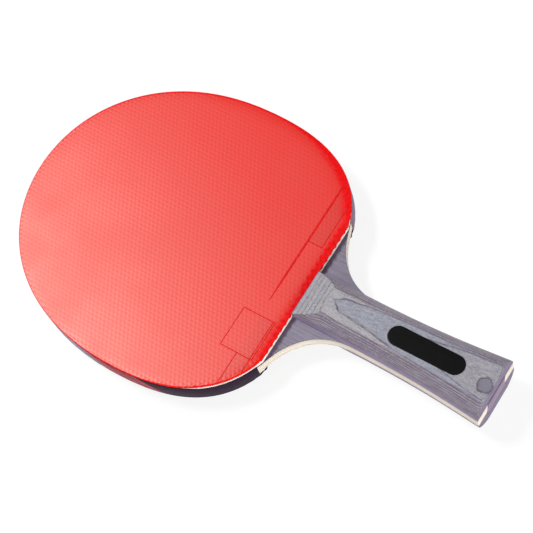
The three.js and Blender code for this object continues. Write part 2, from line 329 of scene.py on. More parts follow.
    def finish(self, colour, normal, roughness=None):
        self.put(colour, self.skin.inputs["Base Color"])
        self.put(normal, self.skin.inputs["Normal"])
        if roughness is not None:
            self.put(roughness, self.skin.inputs["Roughness"])
        return self.material


def rubber(name, body, shade, dust, side):
    """A moulded topsheet: its pimples show through as dots, and its bands carry a finer field of dots."""
    recipe = Recipe(name, roughness=0.4, specular=0.5)
    recipe.skin.inputs["Specular Tint"].default_value = (1.0, 0.97, 0.84, 1.0)
    pimples = recipe.dots(PIMPLE_COLUMNS / MM, PIMPLE_PHASE / MM, (CUT + PIMPLE_FROM_CUT) / MM)
    cloud = recipe.noise(0.035, detail=3)
    fine = recipe.noise(2.5, detail=3)
    past_rim, soft = 90, 0.12
    low = (CUT + BAND_FROM_CUT) / MM
    bands = []
    for start, end in ((-past_rim, PANEL_RIGHT / MM), (BAND_RIGHT / MM, past_rim)):
        left, right = sorted((start * side, end * side))
        bands.append(recipe.times(
            recipe.strip(recipe.x, left, right, soft),
            recipe.strip(recipe.y, low, low + BAND_HEIGHT / MM, soft),
        ))
    bands = recipe.math("MAXIMUM", *bands)
    stipple = recipe.times(recipe.dots(STIPPLE_COLUMNS / MM), bands)
    tint = recipe.plus(
        recipe.spread(pimples, 0.35, 1.0, 0.0, 0.22),
        recipe.spread(cloud, 0.3, 0.7, 0.0, 0.12),
        recipe.spread(stipple, 0.0, 1.0, 0.0, 0.3),
        recipe.times(bands, 0.2),
    )
    colour = recipe.stain(recipe.blend(tint, body, shade), (fine, 0.6, 0.85, 0.0, 0.08, dust))
    normal = recipe.bump(pimples, 0.015)
    normal = recipe.bump(stipple, 0.01, Normal=normal)
    normal = recipe.bump(fine, 0.004, Normal=normal)
    return recipe.finish(colour, normal, recipe.spread(cloud, 0.3, 0.7, 0.33, 0.38))


def rim_rubber(name, body, shade, roughness=0.6, specular=0.12):
    """The duller rubber of a topsheet's cut rim and of its ribs."""
    recipe = Recipe(name, roughness, specular)
    cloud = recipe.noise(0.8, detail=3)
    fine = recipe.noise(4.0, detail=2)
    colour = recipe.blend(recipe.spread(cloud, 0.35, 0.7), body, shade)
    return recipe.finish(colour, recipe.bump(fine, 0.01))


def foam(name, light, dark):
    """Sponge with small open cells along its cut edge."""
    recipe = Recipe(name, roughness=0.85, specular=0.2)
    open_cell = recipe.spread(recipe.pores(3.2), 0.05, 0.4, 1.0, 0.0)
    patch = recipe.noise(0.4, detail=3)
    above = recipe.absolute(recipe.less(recipe.z, MIDDLE / MM))
    foot = (BLADE_HIGH[2] - MIDDLE) / MM
    colour = recipe.stain(
        recipe.blend(recipe.times(open_cell, 0.35), light, dark),
        (patch, 0.35, 0.75, 0.0, 0.3, dark),
        (above, foot + 0.3, foot + 0.9, 0.7, 0.0, (110, 90, 112)),  # painted shade, darker towards the blade
    )
    return recipe.finish(colour, recipe.bump(open_cell, -0.06))


def stained_veneer(name):
    """Grey-blue stained face veneer, its grain and pores along the blade."""
    recipe = Recipe(name, roughness=0.5, specular=0.35)
    streaks = recipe.noise((1.1, 0.035, 1.1), detail=5, roughness=0.6, distortion=0.3)
    hairs = recipe.noise((6.0, 0.12, 6.0), detail=3, roughness=0.65)
    pores = recipe.noise((4.5, 0.28, 4.5), detail=2)
    fleck = recipe.noise(1.6, detail=4, roughness=0.7)
    cut = CUT / MM
    stain = [(0.25, (102, 93, 112)), (0.45, (120, 113, 130)), (0.6, (132, 127, 143)), (0.8, (154, 151, 164))]
    colour = recipe.stain(
        recipe.ramp(streaks, stain),
        (hairs, 0.45, 0.75, 0.0, 0.35, (172, 172, 182)),
        (pores, 0.6, 0.74, 0.0, 0.55, (88, 78, 98)),
        (fleck, 0.35, 0.7, 0.0, 0.25, (118, 108, 124)),
        (recipe.y, cut - 2.6, cut - 0.9, 0.0, 0.75, (84, 66, 92)),  # painted shadow of the coverings' edge on the veneer beside them
    )
    height = recipe.less(hairs, recipe.spread(pores, 0.6, 0.74))
    return recipe.finish(colour, recipe.bump(height, 0.03))


def pale_wood(name, light, dark):
    """The sanded edge of a ply, with fine lines along the layer."""
    recipe = Recipe(name, roughness=0.6, specular=0.3)
    lines = recipe.noise((0.12, 0.12, 7.0), detail=3, roughness=0.6)
    patch = recipe.noise((0.25, 0.25, 0.6), detail=3)
    specks = recipe.noise((2.6, 2.6, 6.0), detail=2)
    colour = recipe.stain(
        recipe.blend(recipe.spread(lines, 0.35, 0.7), light, dark),
        (patch, 0.45, 0.75, 0.0, 0.35, (236, 208, 180)),
        (specks, 0.62, 0.78, 0.0, 0.3, (190, 172, 156)),
    )
    return recipe.finish(colour, recipe.bump(lines, 0.02))


# The dye of each veneer of a scale, from the blade outwards.
DYES = (
    (128, 112, 136), (138, 126, 146), (118, 102, 126), (144, 134, 152), (134, 122, 144),
    (160, 162, 174), (158, 156, 160), (166, 166, 168), (154, 158, 170), (164, 163, 164),
    (164, 161, 164), (144, 148, 161), (154, 151, 158), (154, 151, 158),
)


def veneer_layers(recipe, neck):
    """Which veneer lies at a point of the grip: whole numbers are the glue lines between them."""
    height = recipe.absolute(recipe.less(recipe.z, MIDDLE / MM))
    # The layers sag to the sides and to the front, and rise towards the butt.
    on_crown = recipe.spread(recipe.y, neck, neck + 8.0, 1.0, 0.0)
    aslant = recipe.absolute(recipe.math("MULTIPLY_ADD", recipe.x, 0.115, -0.09))
    sideways = recipe.math("POWER", aslant, 1.6)
    endways = recipe.spread(recipe.y, neck - 4.0, neck + 4.0, 0.0, 0.45, smooth=False)
    from_neck = recipe.math("MAXIMUM", recipe.less(neck, recipe.y), 0.0)
    climb = recipe.math("MULTIPLY_ADD", from_neck, 0.00019, 0.011)
    level = recipe.math("MULTIPLY_ADD", climb, from_neck, recipe.plus(height, 0.2))
    level = recipe.less(level, recipe.times(sideways, on_crown), endways)
    for scale, detail, most in (((0.16, 0.03, 0.02), 3, 0.14), ((0.8, 0.14, 0.4), 2, 0.05)):
        wave = recipe.noise(scale, detail=detail)
        level = recipe.plus(level, recipe.spread(wave, 0.2, 0.8, -most, most, smooth=False))
    foot = (BLADE_HIGH[2] - MIDDLE) / VENEER
    return recipe.math("MULTIPLY_ADD", level, MM / VENEER, 1.0 - foot)


def add_knot(recipe, colour):
    """A knot near the butt, with a dark ring round it, on the front only."""
    left, from_butt, flat, ragged = 2.1, 3.4, 1.12, 3.6
    from_knot = recipe.join(
        recipe.plus(recipe.x, left),
        recipe.math("MULTIPLY_ADD", recipe.y, flat, -flat * (BUTT / MM + from_butt)),
        0.0,
    )
    edge = recipe.noise(0.36, detail=4, roughness=0.6)
    far = recipe.math("MULTIPLY_ADD", edge, ragged, recipe.vector("LENGTH", from_knot))
    front = recipe.spread(recipe.z, MIDDLE / MM + 8, MIDDLE / MM + 9)
    inside = recipe.times(recipe.spread(far, 4.8, 5.4, 1.0, 0.0), front)
    ring = recipe.less(recipe.times(recipe.spread(far, 5.5, 6.5, 1.0, 0.0), front), inside)
    colour = recipe.blend(recipe.times(inside, 0.75), colour, (108, 106, 122))
    return recipe.blend(recipe.times(ring, 0.9), colour, (78, 70, 84))


def laminate(name):
    """Dyed veneers glued flat on each other and sanded to shape, so that they show as contour lines."""
    recipe = Recipe(name, roughness=0.5, specular=0.3)
    neck = (GRIP_FRONT - FRONT_SLOPE_LENGTH) / MM - 3.0
    layer = veneer_layers(recipe, neck)
    dyes = [(number / len(DYES), dye) for number, dye in enumerate(DYES)]
    colour = recipe.ramp(recipe.math("DIVIDE", layer, len(DYES)), dyes, flat=True)
    across, endways, facing = recipe.slants()
    # Painted shade darkens the rounded flanks, along with the deeper dye of their sanded veneer edges. The
    # slope at the front gets a painted highlight that keeps it as light as the crown.
    steep_shade = recipe.spread(facing, 0.9, 0.985, 0.6, 0.0)
    aside = recipe.spread(across, 0.12, 0.3)
    slope = recipe.times(steep_shade, recipe.less(1.0, aside))
    steep_shade = recipe.times(steep_shade, aside)
    colour = recipe.blend(steep_shade, colour, (104, 78, 102))
    colour = recipe.blend(recipe.times(slope, 0.45), colour, (200, 200, 200))
    grain = recipe.noise((2.2, 0.06, 2.2), detail=4, roughness=0.65)
    fleck = recipe.noise((1.3, 0.6, 1.3), detail=4, roughness=0.75)
    hairs = recipe.noise((7.0, 0.2, 7.0), detail=2)
    speckle = recipe.noise((1.9, 0.9, 1.9), detail=1)
    colour = recipe.stain(
        colour,
        (speckle, 0.5, 0.68, 0.0, 0.4, (104, 98, 112)),
        (speckle, 0.32, 0.48, 0.3, 0.0, (186, 186, 192)),
        (grain, 0.42, 0.7, 0.0, 0.5, (178, 178, 186)),
        (fleck, 0.45, 0.68, 0.0, 0.5, (112, 102, 118)),
        (hairs, 0.54, 0.7, 0.0, 0.55, (92, 80, 98)),
    )
    # The glue lines: hairlines on the crown, wider on the flanks, broken in places, fainter on the slope.
    from_seam = recipe.math("PINGPONG", layer, 0.5)
    off_crown = recipe.spread(facing, 0.97, 0.995, 1.0, 0.0)
    wide_seam = recipe.times(recipe.spread(from_seam, 0.0, 0.19, 1.0, 0.0), off_crown)
    seam = recipe.math("MAXIMUM", wide_seam, recipe.spread(from_seam, 0.0, 0.09, 1.0, 0.0))
    broken = recipe.spread(recipe.noise((0.35, 0.15, 0.35), detail=2), 0.35, 0.62, 0.5, 1.0)
    under_top = recipe.spread(layer, 12.3, 12.6, 1.0, 0.0)
    faint = recipe.less(1.0, recipe.spread(recipe.y, neck, neck + 3.0, 0.0, 0.4))
    faint = recipe.math("MAXIMUM", faint, recipe.spread(steep_shade, 0.1, 0.3))
    seam = recipe.times(seam, broken, under_top, faint)
    depth = recipe.spread(steep_shade, 0.0, 0.4, 0.9, 1.0)
    colour = recipe.blend(recipe.times(seam, depth), colour, (62, 50, 72))
    colour = recipe.stain(colour, (recipe.math("FRACT", layer), 0.0, 0.3, 0.15, 0.0, (92, 82, 104)))
    colour = add_knot(recipe, colour)
    # End grain takes the dye deeper, and painted shade darkens the end faces further. The upright sides keep
    # some of its lilac.
    colour = recipe.stain(colour, (endways, 0.6, 0.9, 0.0, 0.7, (88, 64, 104)))
    upright = recipe.times(recipe.spread(facing, 0.15, 0.5, 0.5, 0.0), recipe.spread(across, 0.5, 0.8))
    colour = recipe.blend(upright, colour, (146, 132, 170))
    return recipe.finish(colour, recipe.bump(recipe.less(hairs, seam), 0.03))


# The blocks of colour on the tape: where each starts and ends along the rim, in millimetres from the
# tip to the left, and its paint.
TAPE_BLOCKS = (
    (-240, -100, (126, 104, 126)),
    (30, 117, (166, 146, 166)),
    (118.5, 124, (160, 122, 142)),
    (124, 136, (168, 66, 76)),
    (137.4, 143.4, (168, 66, 76)),
    (144.8, 151.5, (168, 66, 76)),
)


def printed_tape(name):
    """Edge tape: near black, with slanted blocks of muted red and lilac towards the left of the head."""
    recipe = Recipe(name, roughness=0.5, specular=0.06)
    head_radius, lean, soft = 75.0, 1.16, 0.3
    middle = (SHEET_LOW[1] + SHEET_HIGH[1]) / 2 / MM
    turn = recipe.math("ARCTAN2", recipe.times(recipe.x, -1.0), recipe.less(recipe.y, middle))
    along = recipe.times(turn, head_radius)
    slant = recipe.math("MULTIPLY_ADD", recipe.less(recipe.z, MIDDLE / MM), lean, along)
    rubbed = recipe.noise((0.5, 0.5, 1.5), detail=4, roughness=0.7)
    weave = recipe.noise((3.0, 3.0, 9.0), detail=2)
    colour = recipe.blend(recipe.spread(rubbed, 0.4, 0.7), (34, 16, 36), (48, 28, 50))
    for start, end, paint in TAPE_BLOCKS:
        colour = recipe.blend(recipe.strip(slant, start, end, soft), colour, paint)
    colour = recipe.stain(colour, (rubbed, 0.55, 0.8, 0.0, 0.16, (96, 82, 98)))
    return recipe.finish(colour, recipe.bump(weave, 0.01))


def glossy_plate(name):
    """The badge: bare black plastic with the faint hairlines of handling."""
    recipe = Recipe(name, roughness=0.3, specular=0.08)
    cloud = recipe.noise(0.25, detail=3)
    hairlines = recipe.noise((0.5, 9.0, 1.0), detail=2, distortion=0.6)
    colour = recipe.blend(recipe.spread(cloud, 0.3, 0.7), (3, 2, 3), (7, 6, 7))
    roughness = recipe.spread(hairlines, 0.55, 0.75, 0.26, 0.36)
    return recipe.finish(colour, recipe.bump(cloud, 0.02), roughness)


def blank_label(name):
    """The plain sticker on the butt."""
    recipe = Recipe(name, roughness=0.45, specular=0.4)
    paper = recipe.noise(1.6, detail=4, roughness=0.6)
    colour = recipe.blend(recipe.spread(paper, 0.3, 0.7), (122, 100, 124), (134, 112, 136))
    return recipe.finish(colour, recipe.bump(paper, 0.01))


# -------- mesh tools


def new_object(name, data):
    """A new object of the scene."""
    made = bpy.data.objects.new(name, data)
    bpy.context.scene.collection.objects.link(made)
    return made


def add_piece(name, mesh, materials, replaced=(), sharp=35):
    """Makes a piece of the paddle from a mesh, riding on the one body."""
    mesh.shade_smooth()
    mesh.set_sharp_from_angle(angle=math.radians(sharp))
    piece = new_object(name, mesh)
    for material in materials:
        mesh.materials.append(material)
    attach(piece, "root")
    if replaced:
        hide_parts(*replaced)
    return piece


def mesh_of(name, points, faces):
    mesh = bpy.data.meshes.new(name)
    mesh.from_pydata([tuple(point) for point in points], [], faces)
    form = bmesh.new()
    form.from_mesh(mesh)
    bmesh.ops.recalc_face_normals(form, faces=form.faces)
    form.to_mesh(mesh)
    form.free()
    return mesh


def mesh_from(form, name):
    """Turns a form into a mesh, and frees it."""
    mesh = bpy.data.meshes.new(name)
    form.to_mesh(mesh)
    form.free()
    return mesh


def closed_rings(rings, count, start=0, looped=False):
    """The faces of a form through rings of points, which has two end caps or runs back to its first ring."""
    faces = []
    for ring in range(rings if looped else rings - 1):
        here, there = start + ring * count, start + (ring + 1) % rings * count
        for i in range(count):
            after = (i + 1) % count
            faces.append((here + i, here + after, there + after, there + i))
    ends = () if looped else (start, start + (rings - 1) * count)
    return faces + [tuple(range(end, end + count)) for end in ends]


def joined_mesh(node):
    """A copy of a CAD node's mesh with its corners joined and its flat faces made whole."""
    form = bmesh.new()
    form.from_mesh(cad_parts[node].data)
    bmesh.ops.remove_doubles(form, verts=form.verts, dist=0.001 * MM)
    flat = math.radians(0.05)
    bmesh.ops.dissolve_limit(form, angle_limit=flat, verts=form.verts, edges=form.edges)
    return form


def soften(form, width):
    """Bevels the sharp edges of a form."""
    sharp = [
        edge for edge in form.edges
        if len(edge.link_faces) == 2 and edge.calc_face_angle() > SHARP_EDGE
    ]
    bmesh.ops.bevel(
        form, geom=sharp, offset=width, segments=2, profile=0.5, affect="EDGES", clamp_overlap=True
    )


def from_cad(node, name, width, finish, edge_finish=None):
    """A piece in the shape of its CAD node, with softened edges. Upright faces may take a second finish."""
    form = joined_mesh(node)
    soften(form, width)
    if edge_finish is not None:
        for face in form.faces:
            face.material_index = 1 if abs(face.normal.z) < 0.5 else 0
    finishes = [finish] if edge_finish is None else [finish, edge_finish]
    return add_piece(name, mesh_from(form, name), finishes, [node])


def outline_of(node):
    """The outline of a flat CAD node, as one loop of points in the plane of the blade."""
    form = joined_mesh(node)
    top = max(form.faces, key=lambda face: (face.normal.z > 0.9) * face.calc_area())
    loop = [Vector((vertex.co.x, vertex.co.y)) for vertex in top.verts]
    form.free()
    return loop


def even_loop(loop, step):
    """The same loop with points a step apart."""
    lengths = [(loop[(i + 1) % len(loop)] - loop[i]).length for i in range(len(loop))]
    count = round(sum(lengths) / step)
    pace = sum(lengths) / count
    points = []
    part, passed = 0, 0.0
    for i in range(count):
        target = i * pace
        while passed + lengths[part] < target:
            passed += lengths[part]
            part += 1
        share = (target - passed) / lengths[part]
        points.append(loop[part].lerp(loop[(part + 1) % len(loop)], share))
    return points


def smooth_loop(loop, reach):
    """Each point at the mean of its neighbours within a reach, so that the facets of the CAD go."""
    count = len(loop)
    span = range(-reach, reach + 1)
    return [sum((loop[(i + k) % count] for k in span), Vector((0, 0))) / len(span) for i in range(count)]


def outward(loop, reach):
    """For each point of a loop, the direction away from its inside."""
    count = len(loop)
    turn = sum(place.cross(after) for place, after in zip(loop, loop[1:] + loop[:1]))
    side = 1 if turn > 0 else -1
    normals = []
    for i in range(count):
        along = (loop[(i + reach) % count] - loop[(i - reach) % count]).normalized()
        normals.append(Vector((along.y, -along.x)) * side)
    return normals


# -------- coverings


def clamp(value, low=0.0, high=1.0):
    return min(high, max(low, value))


def rim_loop(node):
    """A covering's outline as a smooth loop, and its directions outwards."""
    loop = smooth_loop(even_loop(outline_of(node), LOOP_STEP), LOOP_REACH)
    return loop, outward(loop, LOOP_REACH)


def rim_at(node, y, side):
    """How far from the middle line the rim of a covering is, at a height along the blade."""
    loop = outline_of(node)
    crossings = []
    for first, second in zip(loop, loop[1:] + loop[:1]):
        if (first.y - y) * (second.y - y) <= 0 and first.y != second.y:
            crossing = first.lerp(second, (y - first.y) / (second.y - first.y)).x
            if crossing * side > 0:
                crossings.append(crossing)
    return max(crossings, key=abs)


def near_cut(normal):
    """1 along the straight cut edge, 0 where the rim has turned away from it."""
    return max(0.0, -normal.y) ** CUT_SHARPNESS


def bead_share(normal):
    """How far the bead has grown where the rim faces this way: it starts as the rim turns to the cut line."""
    return clamp((-normal.y - BEAD_FROM_FACING) / BEAD_FADE)


def swell_at(x):
    """How far the cut edge swells out at a place, from 0 to 1."""
    return 0.5 + 0.5 * math.cos(math.pi * (x - SWELL_PHASE) / PIMPLE_COLUMNS)


def pimple_places(low_y, high_y):
    """The middles of the pimples between two heights along the blade."""
    row = PIMPLE_COLUMNS * 2 / math.sqrt(3)
    last_column = math.ceil(SHEET_HIGH[0] / PIMPLE_COLUMNS) + 1
    for column in range(-last_column, last_column + 1):
        x = PIMPLE_PHASE + column * PIMPLE_COLUMNS
        start = CUT + PIMPLE_FROM_CUT + (row / 2 if column % 2 else 0)
        for step in range(-2, int((high_y - low_y) / row) + 3):
            yield Vector((x, start + step * row))


def print_through(x, y):
    """How high the pimples push the sheet up at a place, from 0 between them to 1 on them."""
    turns = 2 * math.pi / PIMPLE_COLUMNS
    total = 0
    for angle in DOT_DIRECTIONS:
        across = math.cos(math.radians(angle)) * (x - PIMPLE_PHASE)
        along = math.sin(math.radians(angle)) * (y - CUT - PIMPLE_FROM_CUT)
        total += math.cos(turns * (across + along))
    return (total + 1.5) / 4.5


def sponge_sheet(node, name, material):
    """A sponge, cut on the slant where its straight edge is open beside the grip."""
    low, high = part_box(node)
    front = high[2] > MIDDLE
    outer, inner = (high[2], low[2]) if front else (low[2], high[2])
    form = joined_mesh(node)
    soften(form, SPONGE_CREASE)
    root = low[1] + LIP_ROOT
    corner = max(abs(rim_at(node, root, side)) for side in (-1, 1)) - LIP_FROM_CORNER
    lip = [(root, outer), (low[1] - LIP_AT_SKIN, outer), (low[1] - LIP_AT_BLADE, inner), (root, inner)]
    for side in (-1, 1):
        add_bar(form, [[(x * side, y, z) for y, z in lip] for x in (LIP_FROM_MIDDLE, corner)])
    if front:
        add_bead(form, outer)
    bmesh.ops.recalc_face_normals(form, faces=form.faces)
    return add_piece(name, mesh_from(form, name), [material], [node])


def add_bar(form, sections):
    """Adds a closed bar to a form, through cross-sections of equal count."""
    corners = [form.verts.new(place) for section in sections for place in section]
    for face in closed_rings(len(sections), len(sections[0])):
        form.faces.new([corners[k] for k in face])


def add_bead(form, level):
    """The front sponge's rim, squeezed out between the tape and the topsheet near the cut line's ends."""
    runs = [[]]
    for place, normal in zip(*rim_loop("front_topsheet")):
        share = bead_share(normal) if place.y > CUT + BEAD_FROM_CUT else 0.0
        out, rise = BEAD_STANDS_OUT * share, BEAD_HEIGHT * share
        outline = (
            (BEAD_ROOT, BEAD_FOOT), (out, BEAD_FOOT), (out, rise * 0.7), (out * 0.7, rise), (BEAD_ROOT, rise),
        )
        if share:
            runs[-1].append([(*(place + normal * reach), level + height) for reach, height in outline])
        elif runs[-1]:
            runs.append([])
    for run in filter(None, runs):
        add_bar(form, run)


def clear_reach(tree, place, normal):
    """How far a point of the rim can go in before another part of the rim is nearer."""
    reach, step = ROLL_REACH, ROLL_REACH / 16
    while reach > step:
        at = place - normal * reach
        if tree.find((at.x, at.y, 0))[2] > reach * 0.93:
            break
        reach -= step
    return reach


def ring_point(place, normal, most, inset, share, front):
    """A point of a topsheet's ring in the plane of the blade, and how far the face has fallen there."""
    part = min(1.0, inset / ROLL_REACH)
    at = place - normal * min(inset, most * (0.5 + 0.5 * part) if most < ROLL_REACH else most)
    # It falls off most to the right and least towards the tip.
    low_side = clamp(0.5 - 1.2 * normal.y, 0.08)
    rolled = low_side * clamp(max(1.2 * normal.x, 0.45 * max(0.0, -normal.y) ** 2), 0.1)
    fall = ROLL_DEPTH * (1 - part) ** 3 * most / ROLL_REACH * rolled
    cut = near_cut(normal)
    drawn_back = BEAD_ROOM * bead_share(normal) if normal.x < 0 and front else 0.0
    at = at + normal * OVERHANG * (1 - cut) * (1 - part) * (1 - drawn_back)
    swell = swell_at(at.x) ** SWELL_SHARPNESS
    fall += (1 - print_through(at.x, at.y)) * share * (DIP + DIP_AT_CUT * cut)
    fall += (1 - swell) * share * cut * SWELL_HEIGHT
    out = cut * (swell * SWELL_OUT + CUT_OUT) * max(0.0, 1 - inset / SWELL_REACH)
    return at + normal * out, fall


def rim_finish(ring, place, normal, middle, front):
    """Which finish a face of a topsheet has: 0 the sheet's, 1 the cut rim's, 2 that of the band beside it."""
    dull = RIM_RINGS - 1
    if not front:
        return 1 if ring < dull else 0
    # Handling has dulled the front one's rim on the right and at the cut, in a line broken by the pimples.
    to_right, to_cut = max(0.0, normal.x), max(0.0, -normal.y)
    corner = to_right * to_cut
    at_cut = 2.6 + 1.4 * swell_at(place.x) + (2.0 if place.x > 0 else 0.0)
    worn = min(1.0, 2 * (to_right + to_cut))
    dull += worn + max(1.5 * to_right + 11 * corner, at_cut * near_cut(normal))
    dull += 0.8 * worn * print_through(middle.x, middle.y)
    shoulder = 1 + 5 * corner
    if ring < round(dull):
        return 1
    return 2 if ring < min(SHOULDER_RINGS, round(dull + shoulder)) else 0


def covering(node, name, finishes):
    """A topsheet: a skin with a rolled edge, and the pimples that can be seen under its rim."""
    low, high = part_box(node)
    front = high[2] > MIDDLE
    face, inner = (high[2], low[2]) if front else (low[2], high[2])
    down = -1 if front else 1  # from the playing face towards the blade
    loop, normals = rim_loop(node)
    count = len(loop)
    tree = KDTree(count)
    for i, place in enumerate(loop):
        tree.insert((place.x, place.y, 0), i)
    tree.balance()
    reach = [clear_reach(tree, place, normal) for place, normal in zip(loop, normals)]
    points = []
    for inset, depth, share in SHEET_RINGS:
        for place, normal, most in zip(loop, normals, reach):
            at, fall = ring_point(place, normal, most, inset, share, front)
            points.append(Vector((at.x, at.y, face + down * (depth + fall))))
    faces = closed_rings(len(SHEET_RINGS), count)
    pimple = (
        (PIMPLE_RADIUS * 1.12, face + down * SHEET_SKIN * 0.8),
        (PIMPLE_RADIUS, face + down * SHEET_SKIN * 1.3),
        (PIMPLE_RADIUS, inner),
    )
    for middle in pimple_places(low[1], high[1]):
        _, i, distance = tree.find((middle.x, middle.y, 0))
        depth_in = (loop[i] - middle).dot(normals[i])
        if distance > PIMPLES_SEEN or not 1.15 * PIMPLE_RADIUS < depth_in < PIMPLES_SEEN - 0.1 * MM:
            continue
        faces += closed_rings(len(pimple), PIMPLE_SIDES, len(points))
        for radius, level in pimple:
            for step in range(PIMPLE_SIDES):
                angle = 2 * math.pi * step / PIMPLE_SIDES
                place = middle + Vector((math.cos(angle), math.sin(angle))) * radius
                points.append(Vector((place.x, place.y, level)))
    mesh = mesh_of(name, points, faces)
    for number, polygon in enumerate(mesh.polygons):
        ring, i = divmod(number, count)
        polygon.material_index = rim_finish(ring, loop[i], normals[i], polygon.center, front)
    return add_piece(name, mesh, finishes, [node], sharp=50)


def ridge(points, faces, path, levels, up, closed, breadth):
    """A low rounded rib along a path on a playing face."""
    profile = [(-0.5, -0.5), (-0.42, 0.35), (-0.2, 0.9), (0, 1), (0.2, 0.9), (0.42, 0.35), (0.5, -0.5)]
    start = len(points)
    count = len(path)
    for i, place in enumerate(path):
        before = path[i - 1] if i > 0 or closed else place
        after = path[(i + 1) % count] if i + 1 < count or closed else place
        first = (place - before).normalized() if before != place else (after - place).normalized()
        second = (after - place).normalized() if after != place else first
        across = Vector((-(first + second).y, (first + second).x)).normalized()
        stretch = 1 / max(0.5, across.dot(Vector((-first.y, first.x))))
        for offset, height in profile:
            at = place + across * offset * breadth * stretch
            points.append(Vector((at.x, at.y, levels[i] + up * height * RIB_HEIGHT)))
    faces += closed_rings(count, len(profile), start, closed)


def moulded_lines(sheet, node, name, material):
    """The ribs moulded on a playing face near the cut line: a blank panel, and bands that run to the rim."""
    low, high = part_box(node)
    front = high[2] > MIDDLE
    level, up = (high[2], 1) if front else (low[2], -1)
    bottom = CUT + PANEL_FROM_CUT
    top = bottom + PANEL_HEIGHT
    inner = bottom + PANEL_BORDER
    band_low = CUT + BAND_FROM_CUT
    band_high = band_low + BAND_HEIGHT
    ledge = band_high + 0.5 * LEDGE_WIDTH
    points, faces = [], []
    corners_of = [polygon.vertices for polygon in sheet.data.polygons]
    skin = BVHTree.FromPolygons([vertex.co for vertex in sheet.data.vertices], corners_of)

    def line(*places, closed=False, breadth=RIB_WIDTH, fade=0):
        corners = [Vector((x * up, y)) for x, y in places]  # the rear covering is the front one turned over
        path = []
        for start, end in zip(corners, corners[1:] + (corners[:1] if closed else [])):
            steps = max(1, round((end - start).length / LINE_STEP))
            path += [start.lerp(end, i / steps) for i in range(steps)]
        if not closed:
            path.append(corners[-1])
        levels = []
        for i, place in enumerate(path):
            above = Vector((place.x, place.y, level + up * RIB_WIDTH))
            hit = skin.ray_cast(above, Vector((0, 0, -up)))[0]
            sunk = RIB_HEIGHT * (1 - i / fade) if i < fade else 0
            levels.append((hit.z if hit else level) - up * sunk)
        ridge(points, faces, path, levels, up, closed, breadth)

    def rim(y, half):
        return (abs(rim_at(node, y, half * up)) - RIB_FROM_RIM) * half

    line((PANEL_LEFT, bottom), (PANEL_RIGHT, bottom), (PANEL_RIGHT, top), (PANEL_LEFT, top), closed=True)
    line((PANEL_LEFT, inner), (PANEL_RIGHT, inner))
    line((PANEL_LEFT, band_low), (rim(band_low, -1), band_low))
    line((PANEL_LEFT, band_high), (rim(band_high, -1), band_high))
    line((rim(band_low, 1), band_low), (BAND_RIGHT, band_low), (BAND_RIGHT, band_high))
    line((LEDGE_START, ledge), (rim(ledge, 1), ledge), breadth=LEDGE_WIDTH, fade=LEDGE_FADE)
    return add_piece(name, mesh_of(name, points, faces), [material])


# -------- grip


def grip_stations():
    """Places along the grip, each with its half width and how far its crown is lowered."""
    loop = outline_of("front_grip_veneer_01")
    right = sorted(((point.y, point.x) for point in loop if point.x > 0), reverse=True)
    slope_end = GRIP_FRONT - FRONT_SLOPE_LENGTH
    least = right[0][1]
    neck = next(y for y, x in right if x > least + 0.001 * MM)
    bend = (slope_end + 1 * MM, slope_end - 1 * MM)
    stations = []
    for start, end, steps in ((GRIP_FRONT, bend[0], 10), (*bend, 8), (bend[1], neck, 6)):
        stations += [(start + (end - start) * i / steps, least, 0.0) for i in range(steps)]
    for y, half_width in right:
        if y > neck:
            continue
        short = max(0.0, BUTT_ROUNDING - (y - BUTT))
        stations.append((y, half_width, BUTT_ROUNDING - math.sqrt(max(0.0, BUTT_ROUNDING**2 - short**2))))
    return stations


def soft_least(first, second, reach):
    """The lesser of two numbers, with a rounded change from one to the other."""
    share = clamp(0.5 + 0.5 * (second - first) / reach)
    return second + (first - second) * share - reach * share * (1 - share)


def grip_section(y, half_width, lowered):
    """One cross-section of a scale, from its right foot over the crown to its left foot."""
    arc_steps, crease_steps, flat_steps = 18, 5, 4
    share = (GRIP_FRONT - y) / (GRIP_FRONT - BUTT)
    crown = (CROWN_AT_FRONT + (CROWN_AT_BUTT - CROWN_AT_FRONT) * share) / 2
    foot = BLADE_HIGH[2]
    wall = foot + FRONT_SIDE_HEIGHT + (BUTT_SIDE_HEIGHT - FRONT_SIDE_HEIGHT) * share
    top = GRIP_HIGH[2] - lowered
    rise = (GRIP_HIGH[2] - SHEET_HIGH[2]) / FRONT_SLOPE_LENGTH
    slope = soft_least(top, SHEET_HIGH[2] + (GRIP_FRONT - y) * rise, SLOPE_ROUNDING)
    fullness = FRONT_FULLNESS + (BUTT_FULLNESS - FRONT_FULLNESS) * share
    power = 2 / fullness
    last = math.asin(min(1.0, ((slope - wall) / (top - wall)) ** (1 / power)))
    width, height = half_width - crown, top - wall

    def on_arc(turn):
        across = max(0.0, math.cos(turn)) ** power
        return Vector((crown + width * across, wall + height * math.sin(turn) ** power))

    arc_end = last
    while arc_end > 0 and (on_arc(arc_end) - on_arc(last)).length < CREASE:
        arc_end = max(0.0, arc_end - ARC_SEARCH)
    corner = on_arc(last)
    right = [Vector((half_width, foot))]
    right += [on_arc(arc_end * i / arc_steps) for i in range(arc_steps + 1)]
    before, after = on_arc(arc_end), Vector((corner.x - CREASE, slope))
    for i in range(1, crease_steps + 1):
        part = i / crease_steps
        right.append(before.lerp(corner, part).lerp(corner.lerp(after, part), part))
    for i in range(1, flat_steps + 1):
        right.append(Vector((after.x * (1 - i / flat_steps), slope)))
    left = [Vector((-point.x, point.y)) for point in reversed(right[:-1])]
    return [Vector((point.x, y, point.y)) for point in right + left]


